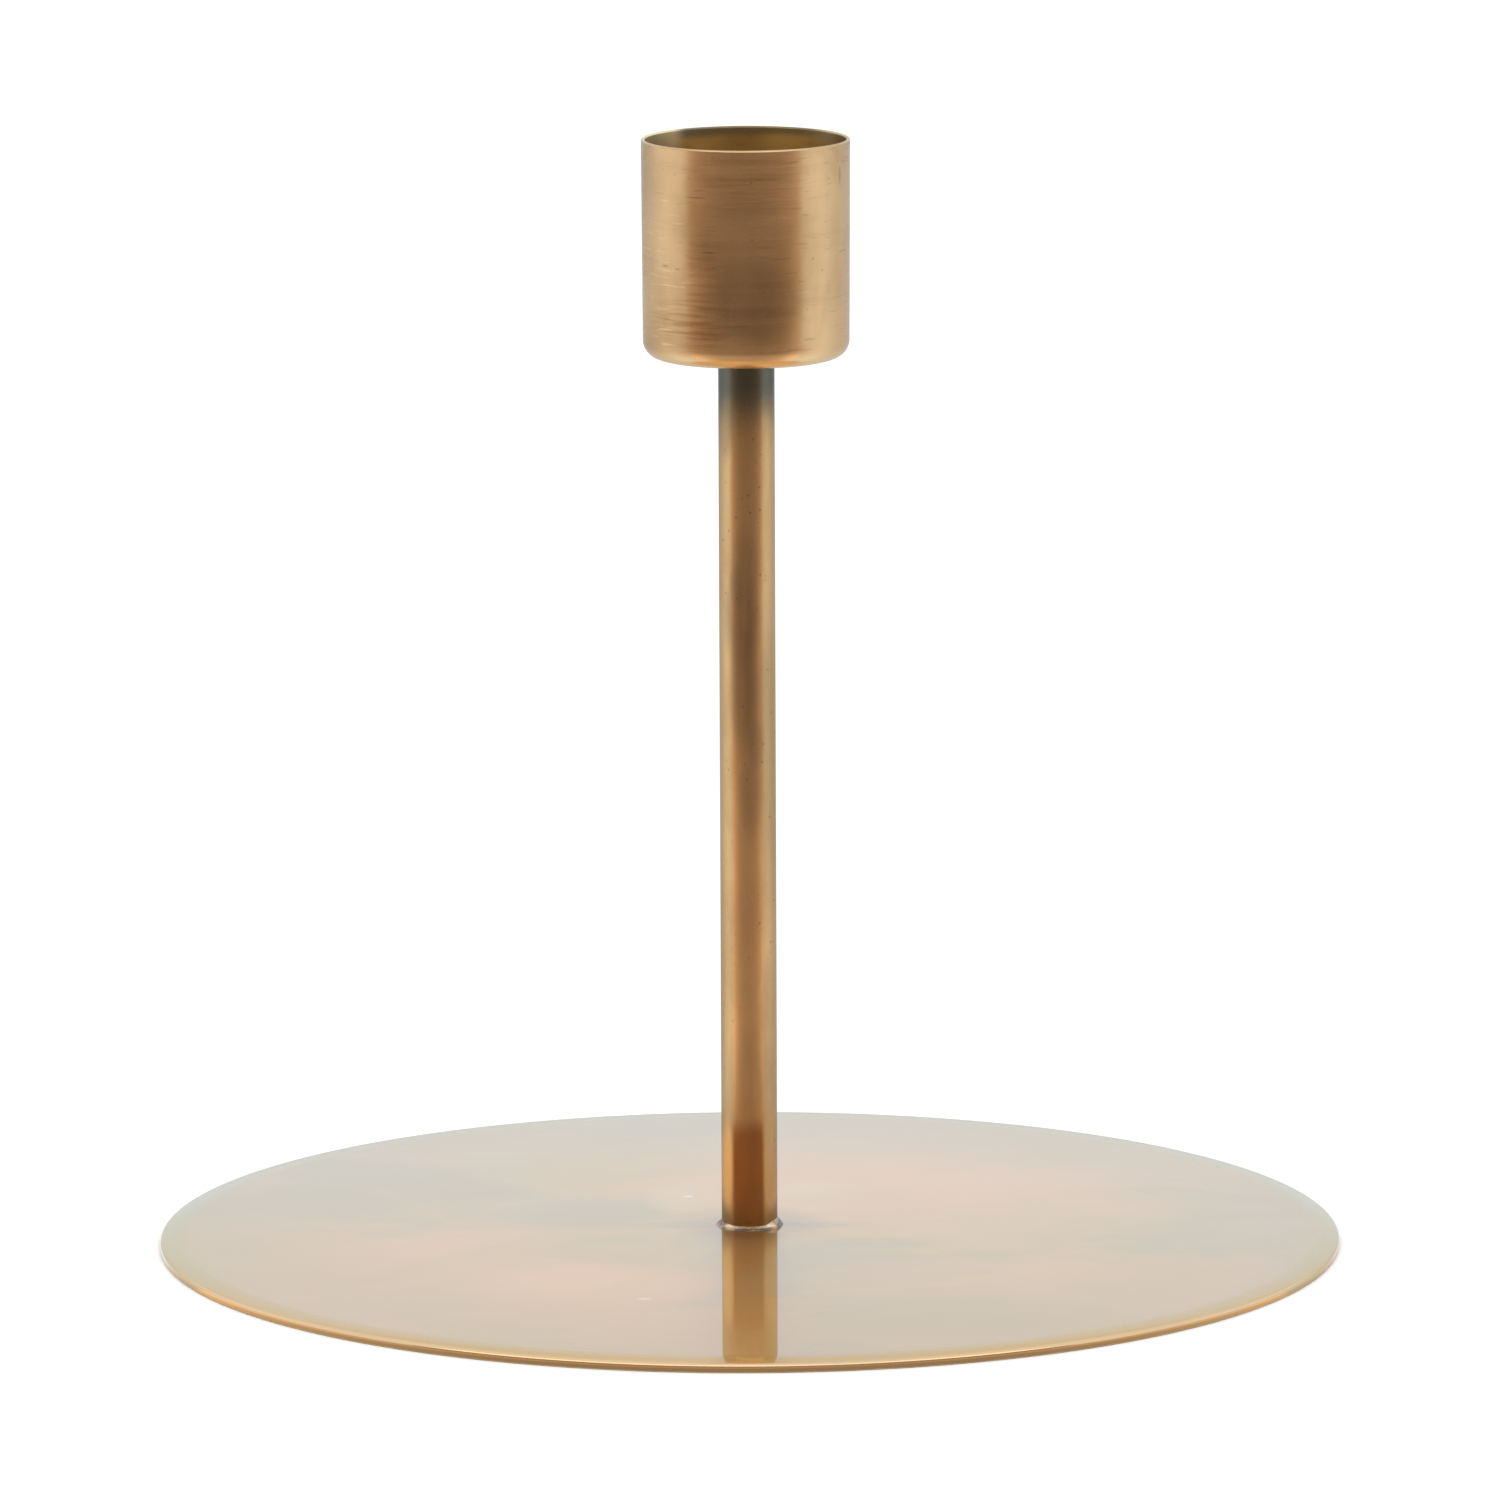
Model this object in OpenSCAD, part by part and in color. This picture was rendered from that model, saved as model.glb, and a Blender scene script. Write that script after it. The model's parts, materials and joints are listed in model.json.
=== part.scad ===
// Slim brass holder for one dinner candle: a crowned sheet disc, a straight stem
// and a thin drawn cup, brazed together. Millimetres, +Z up. The origin is on
// the stem's axis, at the height of the surface that the holder stands on.

/* [Disc] */
// Diameter of the foot disc
disc_d = 134; // [100:1:180]
// Thickness of the disc's sheet
disc_sheet = 1.0; // [0.8:0.1:2]
// Rise of the disc's middle above the inner edge of its rolled rim
disc_crown = 0.6; // [0.2:0.1:2]
// Width of the rim that is rolled down
rim_w = 3; // [2:0.5:6]
// Drop of the rolled rim across its width
rim_drop = 0.3; // [0.1:0.1:0.8]
// Radius on the rim's upper edge
rim_round = 0.6; // [0.2:0.05:0.7]
// Width of the flat ring that the disc stands on
stand_w = 1.4; // [1:0.2:2]
// Width of the flat seat for the stem, outside its braze bead
seat_margin = 1; // [0.5:0.5:4]

/* [Stem] */
// Diameter of the stem
stem_d = 6.35; // [5:0.05:9]
// Length of the stem between the disc and the cup
stem_l = 99.6; // [60:0.2:140]
// Width of the shoulder round the spigot at each end of the stem
shoulder_w = 0.8; // [0.4:0.1:1.2]
// Gap all round each spigot, for the braze to run into
spigot_gap = 0.05; // [0.03:0.01:0.1]

/* [Cup] */
// Height of the cup
cup_h = 24.7; // [18:0.1:40]
// Diameter of the bore that grips the candle
cup_bore_d = 22.4; // [18:0.1:28]
// Height of the widened mouth above the bore
mouth_h = 4; // [1:0.5:8]
// Thickness of the cup's wall
cup_wall = 0.4; // [0.3:0.05:0.8]
// Extra radius of the mouth over the bore
mouth_flare = 0.15; // [0:0.05:0.4]
// Thickness of the cup's floor
cup_floor = 0.6; // [0.4:0.1:1.2]
// Radius of the cup's bottom corner, outside
cup_corner = 2; // [1.2:0.2:4]

/* [Braze] */
// Width of the braze bead, out from the stem
bead_w = 0.8; // [0.4:0.1:1.2]
// Height of the braze bead along the stem
bead_h = 1.0; // [0.4:0.1:1.2]
// Thickness of the braze bead at its thin edges
bead_edge = 0.15; // [0.1:0.05:0.3]

/* [Hidden] */

$fn = 96;
crown_steps = 8;
rim_steps = 6;
round_steps = 6;

disc_r = disc_d / 2;
stem_r = stem_d / 2;
spigot_r = stem_r - shoulder_w;
hole_r = spigot_r + spigot_gap;
bore_r = cup_bore_d / 2;

// The disc: a flat seat for the stem, the crown round it, then the rolled rim
seat_r = stem_r + bead_w + seat_margin;
crown_r = disc_r - rim_w;
crown_z = disc_sheet + rim_drop;
seat_z = crown_z + disc_crown;
stand_r = disc_r - stand_w;

// The cup stands on the stem's upper shoulder
cup_z = seat_z + stem_l;
mouth_z = cup_z + cup_h;
bore_z = cup_z + cup_floor;
mouth_r = bore_r + mouth_flare;
inner_corner = cup_corner - cup_wall;
floor_hole_h = cup_floor + inner_corner;

brass = [0.72, 0.55, 0.36];
brass_pale = [0.84, 0.78, 0.70];
braze_grey = [0.42, 0.36, 0.30];

// Height of the disc's top face at radius r
function top_z(r) =
    r <= seat_r ? seat_z :
    r <= crown_r ? seat_z - disc_crown * pow((r - seat_r) / (crown_r - seat_r), 2) :
    crown_z - rim_drop * pow((r - crown_r) / rim_w, 2);

// The radii at which the disc's two faces have a point
crown_radii = [for (i = [0:crown_steps]) seat_r + (crown_r - seat_r) * i / crown_steps];
rim_radii = [for (i = [1:rim_steps]) crown_r + (disc_r - rim_round - crown_r) * i / rim_steps];
under_radii = [for (r = concat(crown_radii, rim_radii)) if (r < stand_r) r];

// Rounded upper edge of the rim, from its top face round to its outer wall
function rim_arc() =
    let (r = disc_r - rim_round, z = top_z(r) - rim_round)
    [for (i = [1:round_steps])
        let (a = 90 * i / round_steps)
        [r + rim_round * sin(a), z + rim_round * cos(a)]];

// Thin sheet disc, crowned, standing on a narrow flat ring at its rim
module base_disc() {
    top = [for (r = concat([hole_r], crown_radii, rim_radii)) [r, top_z(r)]];
    stand = [[disc_r, 0], [stand_r, 0], [stand_r, top_z(stand_r) - disc_sheet]];
    under = [for (r = concat([hole_r], under_radii)) [r, top_z(r) - disc_sheet]];
    back = [for (i = [len(under) - 1:-1:0]) under[i]];
    color(brass_pale)
        rotate_extrude()
            polygon(concat(top, rim_arc(), stand, back));
}

// Straight stem with a spigot at each end, shouldered on the disc and under the cup
module stem_rod() {
    color(brass) {
        translate([0, 0, seat_z]) cylinder(r = stem_r, h = stem_l);
        translate([0, 0, seat_z - disc_sheet]) cylinder(r = spigot_r, h = disc_sheet + stem_l);
        translate([0, 0, seat_z]) cylinder(r = spigot_r, h = stem_l + cup_floor);
    }
}

// Thin drawn cup: rounded bottom corner, straight bore, slightly flared mouth
module candle_cup() {
    outside = [[bore_r + cup_wall, cup_z + cup_corner], [mouth_r + cup_wall, mouth_z]];
    inside = [[bore_r, bore_z + inner_corner], [bore_r, mouth_z - mouth_h], [mouth_r, mouth_z]];
    color(brass)
        rotate_extrude()
            difference() {
                cup_half(outside, cup_corner);
                cup_half(inside, inner_corner);
                translate([0, cup_z]) square([hole_r, floor_hole_h]);
            }
}

// Half section of a plug that fills the cup to its mouth: a round corner below,
// then the wall's points, listed upwards from the top of the corner
module cup_half(wall, corner) {
    corner_r = wall[0][0] - corner;
    corner_z = wall[0][1];
    translate([0, corner_z - corner]) square([corner_r, corner]);
    translate([corner_r, corner_z]) circle(r = corner);
    polygon(concat([[0, corner_z]], wall, [[0, mouth_z]]));
}

// Ring of braze against the stem, thinning outwards and along the stem
module braze_ring() {
    rotate_extrude()
        polygon([
            [stem_r, 0], [stem_r + bead_w, 0], [stem_r + bead_w, bead_edge],
            [stem_r + bead_edge, bead_h], [stem_r, bead_h]
        ]);
}

// Bead round the stem's foot
module foot_braze() {
    color(braze_grey) translate([0, 0, seat_z]) braze_ring();
}

// Bead round the stem's top, under the cup's floor
module cup_braze() {
    color(braze_grey) translate([0, 0, cup_z]) mirror([0, 0, 1]) braze_ring();
}

base_disc();
stem_rod();
candle_cup();
foot_braze();
cup_braze();
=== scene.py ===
import json
import math

import bpy
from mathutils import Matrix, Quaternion, Vector, noise


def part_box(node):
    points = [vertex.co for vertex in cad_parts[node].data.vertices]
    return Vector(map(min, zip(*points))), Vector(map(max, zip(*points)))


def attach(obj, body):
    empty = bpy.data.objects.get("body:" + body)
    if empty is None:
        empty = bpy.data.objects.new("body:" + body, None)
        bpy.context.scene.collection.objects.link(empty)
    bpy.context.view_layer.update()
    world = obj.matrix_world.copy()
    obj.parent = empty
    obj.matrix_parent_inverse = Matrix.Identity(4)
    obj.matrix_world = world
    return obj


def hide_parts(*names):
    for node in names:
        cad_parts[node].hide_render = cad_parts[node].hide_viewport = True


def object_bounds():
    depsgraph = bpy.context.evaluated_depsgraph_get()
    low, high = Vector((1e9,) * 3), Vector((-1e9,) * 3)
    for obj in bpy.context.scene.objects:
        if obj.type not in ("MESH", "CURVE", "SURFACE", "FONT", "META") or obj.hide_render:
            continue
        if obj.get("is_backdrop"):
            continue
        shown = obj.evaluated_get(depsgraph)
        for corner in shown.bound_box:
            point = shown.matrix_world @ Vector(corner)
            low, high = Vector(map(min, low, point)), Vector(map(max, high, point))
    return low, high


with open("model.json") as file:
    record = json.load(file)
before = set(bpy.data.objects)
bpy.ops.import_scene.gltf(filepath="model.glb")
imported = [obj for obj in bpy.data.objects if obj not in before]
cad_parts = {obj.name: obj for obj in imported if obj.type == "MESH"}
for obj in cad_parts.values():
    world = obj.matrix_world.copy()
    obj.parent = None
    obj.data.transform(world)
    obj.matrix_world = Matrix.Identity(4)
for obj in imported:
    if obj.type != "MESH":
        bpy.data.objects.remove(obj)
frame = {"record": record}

bl_info = {
    "name": "Brass candle holder",
    "version": (1, 0, 0),
    "blender": (4, 5, 0),
    "location": "3D View > Sidebar > Holder",
    "description": "Turned and brazed brass holder for one dinner candle, in its studio",
    "category": "Object",
}

MM = 0.001
BODY = "root"


# ---------------- sizes and colours

def length(name, description, default, low, high):
    """A size in metres, shown in the scene's own unit."""
    return bpy.props.FloatProperty(
        name=name, description=description, default=default, min=low, max=high,
        unit="LENGTH", subtype="DISTANCE", precision=5,
    )


def tint(name, description, default):
    """A colour picked in linear light."""
    return bpy.props.FloatVectorProperty(
        name=name, description=description, default=default, size=3,
        subtype="COLOR", min=0, max=1,
    )


def share(name, description, default, high=1.0):
    """A plain number from nothing to its highest value."""
    return bpy.props.FloatProperty(
        name=name, description=description, default=default, min=0, max=high, precision=3,
    )


class DiscSizes(bpy.types.PropertyGroup):
    """The foot disc."""
    sheet: length("Sheet", "Thickness of the disc's sheet", 1.0 * MM, 0.5 * MM, 2 * MM)
    crown: length("Crown", "Rise of the middle over the rolled rim", 0.6 * MM, 0, 2 * MM)
    rim_w: length("Rim width", "Width of the rim that is rolled down", 3.0 * MM, 1 * MM, 6 * MM)
    rim_round: length("Edge round", "Radius on the rim's upper edge", 0.6 * MM, 0.1 * MM, 0.7 * MM)
    stand_w: length("Stand ring", "Width of the flat ring under the rim", 1.4 * MM, 1 * MM, 2 * MM)
    seat_margin: length("Seat", "Flat seat outside the braze bead", 1.0 * MM, 0, 4 * MM)
    wobble: length("Unevenness", "How far the sheet strays from true", 0.004 * MM, 0, 0.1 * MM)


class StemSizes(bpy.types.PropertyGroup):
    """The stem and the braze at its two ends."""
    shoulder_w: length("Shoulder", "Shoulder round each spigot", 0.8 * MM, 0.3 * MM, 1.2 * MM)
    gap: length("Spigot gap", "Gap round each spigot", 0.05 * MM, 0.01 * MM, 0.1 * MM)
    wobble: length("Unevenness", "How far the rod strays from true", 0.006 * MM, 0, 0.1 * MM)


class CupSizes(bpy.types.PropertyGroup):
    """The candle cup."""
    wall: length("Wall", "Thickness of the cup's wall", 0.4 * MM, 0.2 * MM, 1 * MM)
    floor: length("Floor", "Thickness of the cup's floor", 0.6 * MM, 0.3 * MM, 1.2 * MM)
    corner: length("Corner", "Outside radius of the bottom corner", 2.0 * MM, 1 * MM, 4 * MM)
    mouth_h: length("Mouth", "Height of the widened mouth", 4.0 * MM, 1 * MM, 8 * MM)
    wobble: length("Unevenness", "How far the sheet strays from true", 0.03 * MM, 0, 0.2 * MM)


class Finish(bpy.types.PropertyGroup):
    """The aged brass."""
    gold: tint("Gold", "The cup's brass where it is clean", (0.72, 0.50, 0.275))
    rod: tint("Rod", "The stem's brass where it is clean", (0.61, 0.41, 0.205))
    brown: tint("Brown", "Brass under brown patina", (0.47, 0.30, 0.145))
    olive: tint("Olive", "Brass under dark olive patina", (0.33, 0.23, 0.125))
    red: tint("Red", "Brass reddened by the flame", (0.29, 0.14, 0.052))
    # Partly scorching from the braze, partly painted shade in the crease above the lower bead
    char: tint("Char", "Dark brown beside the braze", (0.22, 0.13, 0.05))
    # Painted highlight in heat-coloured orange on the stem's left side beside the braze
    flame: tint("Flame", "Orange brass beside the braze", (1.0, 0.57, 0.23))
    sheet: tint("Sheet", "The disc's brass under its lacquer", (0.79, 0.495, 0.22))
    blush: tint("Blush", "Pink clouds on the disc", (0.92, 0.51, 0.27))
    smoke: tint("Smoke", "Grey clouds on the disc", (0.60, 0.425, 0.24))
    cream: tint("Cream", "Pale clouds on the disc", (0.88, 0.60, 0.33))
    # Small chips painted pale as glints where they catch the light
    fleck_glint: tint("Fleck", "Small chips in the disc's lacquer", (1.0, 0.92, 0.80))
    heat: tint("Heat tint", "Grey-green oxide near the braze", (0.10, 0.113, 0.097))
    oxide: tint("Oxide", "Rough grey oxide on the braze", (0.17, 0.135, 0.12))
    # Painted highlight along the lower bead's front crest
    ridge_highlight: tint("Ridge", "Bright metal along the braze", (0.95, 0.80, 0.58))
    scratch: tint("Scratch", "Fresh brass in the cup's bright scratches", (0.9, 0.68, 0.42))
    # Painted highlight along the cup's bottom corner, where it catches the bright floor
    corner_highlight: tint("Corner highlight", "Polished brass at the cup's bottom corner", (1.0, 0.76, 0.44))
    lining: tint("Lining", "The cup's inside where it is clean", (0.66, 0.45, 0.17))
    stain: tint("Stain", "Brown clouds inside the cup", (0.46, 0.28, 0.085))
    # Painted shade across the middle of the cup's inside; the next colour is painted highlight at
    # its two sides
    inside_shade: tint("Hollow", "Dark tone across the middle of the inside", (0.24, 0.15, 0.04))
    inside_highlight: tint("Gleam", "Pale tone at the two sides of the inside", (0.95, 0.80, 0.50))
    lip: tint("Lip", "Dark oxide under the cup's lip", (0.17, 0.175, 0.13))
    rim: tint("Rim", "The disc's rolled rim", (0.76, 0.58, 0.32))
    # Partly the dull cut edge, partly painted shade on the wall's lower half next to the floor
    edge: tint("Edge", "The disc's outer wall", (0.50, 0.38, 0.19))


class Studio(bpy.types.PropertyGroup):
    """The camera and the light round the holder."""
    distance: length("Distance", "From the camera to the point it looks at", 1.3146, 0.3, 5)
    elevation: bpy.props.FloatProperty(
        name="Elevation", description="Angle from which the camera looks down",
        default=math.radians(9.967), min=0, max=1.5, subtype="ANGLE", unit="ROTATION")
    roll: bpy.props.FloatProperty(
        name="Roll", description="Turn of the camera about its own axis",
        default=math.radians(0.22), min=-0.1, max=0.1, subtype="ANGLE", unit="ROTATION")
    aim: share("Aim", "Height the camera looks at, as a share of the holder's", 0.449)
    pan: bpy.props.FloatProperty(
        name="Pan", description="How far the camera looks to the right of the stem",
        default=0.25 * MM, min=-0.1, max=0.1, unit="LENGTH", precision=5)
    lens: bpy.props.FloatProperty(
        name="Lens", description="Focal length in millimetres", default=279.3, min=20, max=600)
    floor_grey: tint("Floor", "The pale floor", (0.98, 0.98, 0.98))
    lamp_w: length("Lamp width", "Width of the lamp overhead", 1.6, 0.1, 5)
    lamp_d: length("Lamp depth", "Depth of the lamp overhead", 2.4, 0.1, 5)
    lamp_z: length("Lamp height", "Height of the lamp over the floor", 1.3, 0.3, 5)
    lamp_power: share("Lamp power", "Power of the lamp in watts", 5.0, 100.0)


GROUPS = {
    "holder_disc": DiscSizes, "holder_stem": StemSizes, "holder_cup": CupSizes,
    "holder_finish": Finish, "holder_studio": Studio,
}


# ---------------- outlines

# Most of a side that one rounded corner may take, and how far beyond the corner an extra
# point stands, as a share of it
ROOM = 0.49
SUPPORT = 0.6


def rounded(corners, steps=6, closed=True):
    """Rounds the corners of an outline. Each corner is (r, z, radius)."""
    points = [Vector((r, z)) for r, z, _ in corners]
    count = len(points)
    out = []
    for i, (_, _, radius) in enumerate(corners):
        here = points[i]
        if radius <= 0 or (not closed and i in (0, count - 1)):
            out.append(here)
            continue
        to_prev, to_next = points[i - 1] - here, points[(i + 1) % count] - here
        a, b = to_prev.normalized(), to_next.normalized()
        half = a.angle(b) / 2
        back = min(radius / math.tan(half), to_prev.length * ROOM, to_next.length * ROOM)
        true_radius = back * math.tan(half)
        centre = here + (a + b).normalized() * (true_radius / math.sin(half))
        start, end = here + a * back - centre, here + b * back - centre
        turn = start.angle_signed(end)
        support = min(back * SUPPORT, to_prev.length / 2 - back, to_next.length / 2 - back)
        if support > 0:
            out.append(here + a * (back + support))
        for k in range(steps + 1):
            angle = -turn * k / steps
            out.append(centre + Vector((
                start.x * math.cos(angle) - start.y * math.sin(angle),
                start.x * math.sin(angle) + start.y * math.cos(angle))))
        if support > 0:
            out.append(here + b * (back + support))
    return out


def evened(points, step, closed=True):
    """Adds points along an outline so that no stretch is longer than step."""
    out = []
    for i, here in enumerate(points):
        out.append(here)
        if i == len(points) - 1 and not closed:
            break
        ahead = points[(i + 1) % len(points)]
        pieces = max(1, math.ceil((ahead - here).length / step))
        out += [here.lerp(ahead, k / pieces) for k in range(1, pieces)]
    return out


# ---------------- turning

# Radius of the circle that carries an outline round, and the distance that welds points
AXLE = 0.02
WELD = 1e-6
# For each turned piece: segments round, size of its dents in metres, seed of its dents
TURNING = {
    "foot_disc": (288, 0.03, 3.0),
    "stem": (128, 0.012, 7.0),
    "candle_cup_drawn": (224, 0.012, 11.0),
}


def turning_tree():
    """Geometry nodes that turn an outline round the Z axis and dent it a little."""
    name = "Turning"
    if name in bpy.data.node_groups:
        return bpy.data.node_groups[name]
    tree = bpy.data.node_groups.new(name, "GeometryNodeTree")
    face = tree.interface
    face.new_socket("Outline", in_out="INPUT", socket_type="NodeSocketGeometry")
    face.new_socket("Segments", in_out="INPUT", socket_type="NodeSocketInt")
    for amount in ("Unevenness", "Dent size", "Seed"):
        face.new_socket(amount, in_out="INPUT", socket_type="NodeSocketFloat")
    face.new_socket("Finish", in_out="INPUT", socket_type="NodeSocketMaterial")
    face.new_socket("Turned", in_out="OUTPUT", socket_type="NodeSocketGeometry")

    def node(kind, **values):
        made = tree.nodes.new(kind)
        for key, value in values.items():
            setattr(made, key, value)
        return made

    def join(*pairs):
        for a, out, b, into in pairs:
            tree.links.new(a.outputs[out], b.inputs[into])

    given, result = node("NodeGroupInput"), node("NodeGroupOutput")
    outline = node("GeometryNodeMeshToCurve")
    circle = node("GeometryNodeCurvePrimitiveCircle", mode="RADIUS")
    circle.inputs["Radius"].default_value = AXLE
    upright = node("GeometryNodeSetCurveNormal", mode="Z_UP")
    sweep = node("GeometryNodeCurveToMesh")
    weld = node("GeometryNodeMergeByDistance")
    weld.inputs["Distance"].default_value = WELD
    join((given, "Outline", outline, "Mesh"), (given, "Segments", circle, "Resolution"),
         (circle, "Curve", upright, "Curve"), (upright, "Curve", sweep, "Curve"),
         (outline, "Curve", sweep, "Profile Curve"), (sweep, "Mesh", weld, "Geometry"))

    place = node("GeometryNodeInputPosition")
    closer = node("ShaderNodeVectorMath", operation="DIVIDE")
    dents = node("ShaderNodeTexNoise", noise_dimensions="4D")
    dents.inputs["Scale"].default_value = 1.0
    dents.inputs["Detail"].default_value = 2.0
    centred = node("ShaderNodeMath", operation="SUBTRACT")
    centred.inputs[1].default_value = 0.5
    depth = node("ShaderNodeMath", operation="MULTIPLY")
    outward = node("GeometryNodeInputNormal")
    push = node("ShaderNodeVectorMath", operation="SCALE")
    stray = node("GeometryNodeSetPosition")
    join((place, "Position", closer, 0), (given, "Dent size", closer, 1),
         (closer, "Vector", dents, "Vector"), (given, "Seed", dents, "W"),
         (dents, "Fac", centred, 0), (centred, "Value", depth, 0),
         (given, "Unevenness", depth, 1), (outward, "Normal", push, "Vector"),
         (depth, "Value", push, "Scale"), (weld, "Geometry", stray, "Geometry"),
         (push, "Vector", stray, "Offset"))

    smooth = node("GeometryNodeSetShadeSmooth")
    real = node("GeometryNodeRealizeInstances")
    coat = node("GeometryNodeSetMaterial")
    join((stray, "Geometry", smooth, "Geometry"), (smooth, "Geometry", real, "Geometry"),
         (real, "Geometry", coat, "Geometry"), (given, "Finish", coat, "Material"),
         (coat, "Geometry", result, "Turned"))
    return tree


def placed(name, data):
    """A new object in the scene for a mesh, lamp or camera."""
    made = bpy.data.objects.new(name, data)
    bpy.context.scene.collection.objects.link(made)
    return made


def turned(name, outline, closed, material, wobble):
    """A plain mesh object: the outline, a list of (r, z), turned round the Z axis."""
    segments, dent, seed = TURNING[name]
    mesh = bpy.data.meshes.new(name + "_outline")
    count = len(outline)
    edges = [(i, (i + 1) % count) for i in range(count if closed else count - 1)]
    mesh.from_pydata([(p.x - AXLE, -p.y, 0) for p in outline], edges, [])
    host = placed(name + "_outline", mesh)
    tree = turning_tree()
    ids = {s.name: s.identifier for s in tree.interface.items_tree if s.in_out == "INPUT"}
    modifier = host.modifiers.new("Turning", "NODES")
    modifier.node_group = tree
    modifier[ids["Segments"]] = segments
    modifier[ids["Unevenness"]] = wobble
    modifier[ids["Dent size"]] = dent
    modifier[ids["Seed"]] = seed
    modifier[ids["Finish"]] = material
    depsgraph = bpy.context.evaluated_depsgraph_get()
    made = bpy.data.meshes.new_from_object(host.evaluated_get(depsgraph))
    made.name = name
    bpy.data.objects.remove(host)
    return placed(name, made)


def settle(piece, node):
    """Puts a finished piece on the holder in place of its CAD node."""
    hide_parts(node)
    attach(piece, BODY)


# ---------------- shader helpers

# Half width of the fade between a piece's front and its back
FRONT_FADE = 0.5 * MM


class Paint:
    """Builds one material's nodes from the piece's own coordinates."""

    def __init__(self, name):
        self.material = bpy.data.materials.new(name)
        self.material.use_nodes = True
        self.tree = self.material.node_tree
        self.tree.nodes.clear()
        self.shader = self.tree.nodes.new("ShaderNodeBsdfPrincipled")
        out = self.tree.nodes.new("ShaderNodeOutputMaterial")
        self.tree.links.new(self.shader.outputs["BSDF"], out.inputs["Surface"])
        self.where = self.tree.nodes.new("ShaderNodeTexCoord").outputs["Object"]
        parts = self.tree.nodes.new("ShaderNodeSeparateXYZ")
        self.tree.links.new(self.where, parts.inputs[0])
        self.x, self.y, self.z = (parts.outputs[a] for a in "XYZ")
        self.patterns = {}

    def put(self, socket, value):
        """Sets a socket to a number or colour, or links it to another node's output."""
        if isinstance(value, bpy.types.NodeSocket):
            self.tree.links.new(value, socket)
        elif hasattr(value, "__len__") and socket.type == "RGBA":
            socket.default_value = (*value[:3], 1)
        else:
            socket.default_value = value

    def set(self, **values):
        """Sets the shader's own sockets."""
        for key, value in values.items():
            self.put(self.shader.inputs[key.replace("_", " ")], value)

    def node(self, kind, inputs, out=0, **values):
        """Makes a node, sets its inputs and gives one of its outputs."""
        made = self.tree.nodes.new(kind)
        for key, value in values.items():
            setattr(made, key, value)
        for key, value in inputs.items():
            self.put(made.inputs[key], value)
        return made.outputs[out]

    def math(self, operation, a, b=0.0):
        """One operation on two values."""
        return self.node("ShaderNodeMath", {0: a, 1: b}, operation=operation)

    def times(self, a, b):
        """One value times another."""
        return self.math("MULTIPLY", a, b)

    def pattern(self, name):
        """Soft noise from 0 to 1, made once for each name in the table of patterns."""
        if name not in self.patterns:
            scale, detail, rough, bend, *shift = PATTERNS[name]
            moved = {"Vector": self.where, "Location": shift[0] if shift else (0, 0, 0)}
            spot = self.node("ShaderNodeMapping", {**moved, "Scale": scale})
            self.patterns[name] = self.node("ShaderNodeTexNoise", {
                "Vector": spot, "Scale": 1.0, "Detail": detail, "Roughness": rough,
                "Distortion": bend}, "Fac")
        return self.patterns[name]

    def span(self, value, low, high, to_low=0.0, to_high=1.0):
        """Eases value from one range to another, held at both ends."""
        return self.node("ShaderNodeMapRange", {
            "Value": value, "From Min": low, "From Max": high, "To Min": to_low,
            "To Max": to_high}, "Result", interpolation_type="SMOOTHSTEP")

    def mix(self, amount, a, b):
        """Mixes two colours."""
        return self.node("ShaderNodeMix", {"Factor": amount, 6: a, 7: b}, 2, data_type="RGBA")

    def radius(self):
        """Distance from the holder's axis."""
        flat = self.node("ShaderNodeCombineXYZ", {0: self.x, 1: self.y})
        return self.node("ShaderNodeVectorMath", {0: flat}, "Value", operation="LENGTH")

    def strayed(self, pattern, reach):
        """Height, moved up and down by a pattern."""
        centred = self.math("SUBTRACT", self.pattern(pattern), 0.5)
        return self.math("ADD", self.z, self.times(centred, reach))

    def front(self):
        """The half of a piece that faces the front."""
        return self.span(self.y, -FRONT_FADE, FRONT_FADE, 1.0, 0.0)

    def blot(self, u, v, at, size, amount):
        """A soft oval where the values u and v are near a place."""
        across = self.math("DIVIDE", self.math("SUBTRACT", u, at[0]), size[0])
        along_v = self.math("DIVIDE", self.math("SUBTRACT", v, at[1]), size[1])
        far = self.math("ADD", self.times(across, across), self.times(along_v, along_v))
        return self.span(far, 0.0, 1.0, amount, 0.0)

    def pits(self, kind, patches):
        """Small pits, kept to where the patches are strong."""
        scale, wide, narrow, cover = kind
        cells = {"Vector": self.where, "Scale": scale}
        pit = self.span(self.node("ShaderNodeTexVoronoi", cells, "Distance"), wide, narrow)
        return self.times(self.times(pit, self.span(patches, *PITTED)), cover)

    def layered(self, colour, layers, look):
        """Lays patinas over a colour."""
        for pattern, low, high, cover, tone in layers:
            veil = self.span(self.pattern(pattern), low, high, 0.0, cover)
            colour = self.mix(veil, colour, getattr(look, tone))
        return colour

    def marked(self, colour, marks, foot, tone, veil=None):
        """Lays soft marks on a piece's front over a colour, broken up by a veil."""
        for x, up, wide, high, amount in marks:
            place, size = (x * MM, foot + up * MM), (wide * MM, high * MM)
            mark = self.blot(self.x, self.z, place, size, amount)
            mark = self.times(mark, self.front())
            if veil is not None:
                mark = self.times(mark, veil)
            colour = self.mix(mark, colour, tone)
        return colour

    def relief(self, pattern, depth, strength):
        """A bump from a pattern."""
        height = self.pattern(pattern)
        return self.node("ShaderNodeBump",
                         {"Distance": depth, "Strength": strength, "Height": height})

    def satin(self, kind):
        """Roughness that follows a pattern."""
        pattern, low, high, at_low, at_high = kind
        return self.span(self.pattern(pattern), low, high, at_low, at_high)

    def metal(self, colour, rough, relief, graze=(1, 1, 1)):
        """Finishes the material as a metal."""
        self.set(Base_Color=colour, Metallic=1.0, Specular_Tint=graze)
        self.set(Roughness=rough, Normal=self.relief(*relief))
        return self.material


# ---------------- finishes

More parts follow.
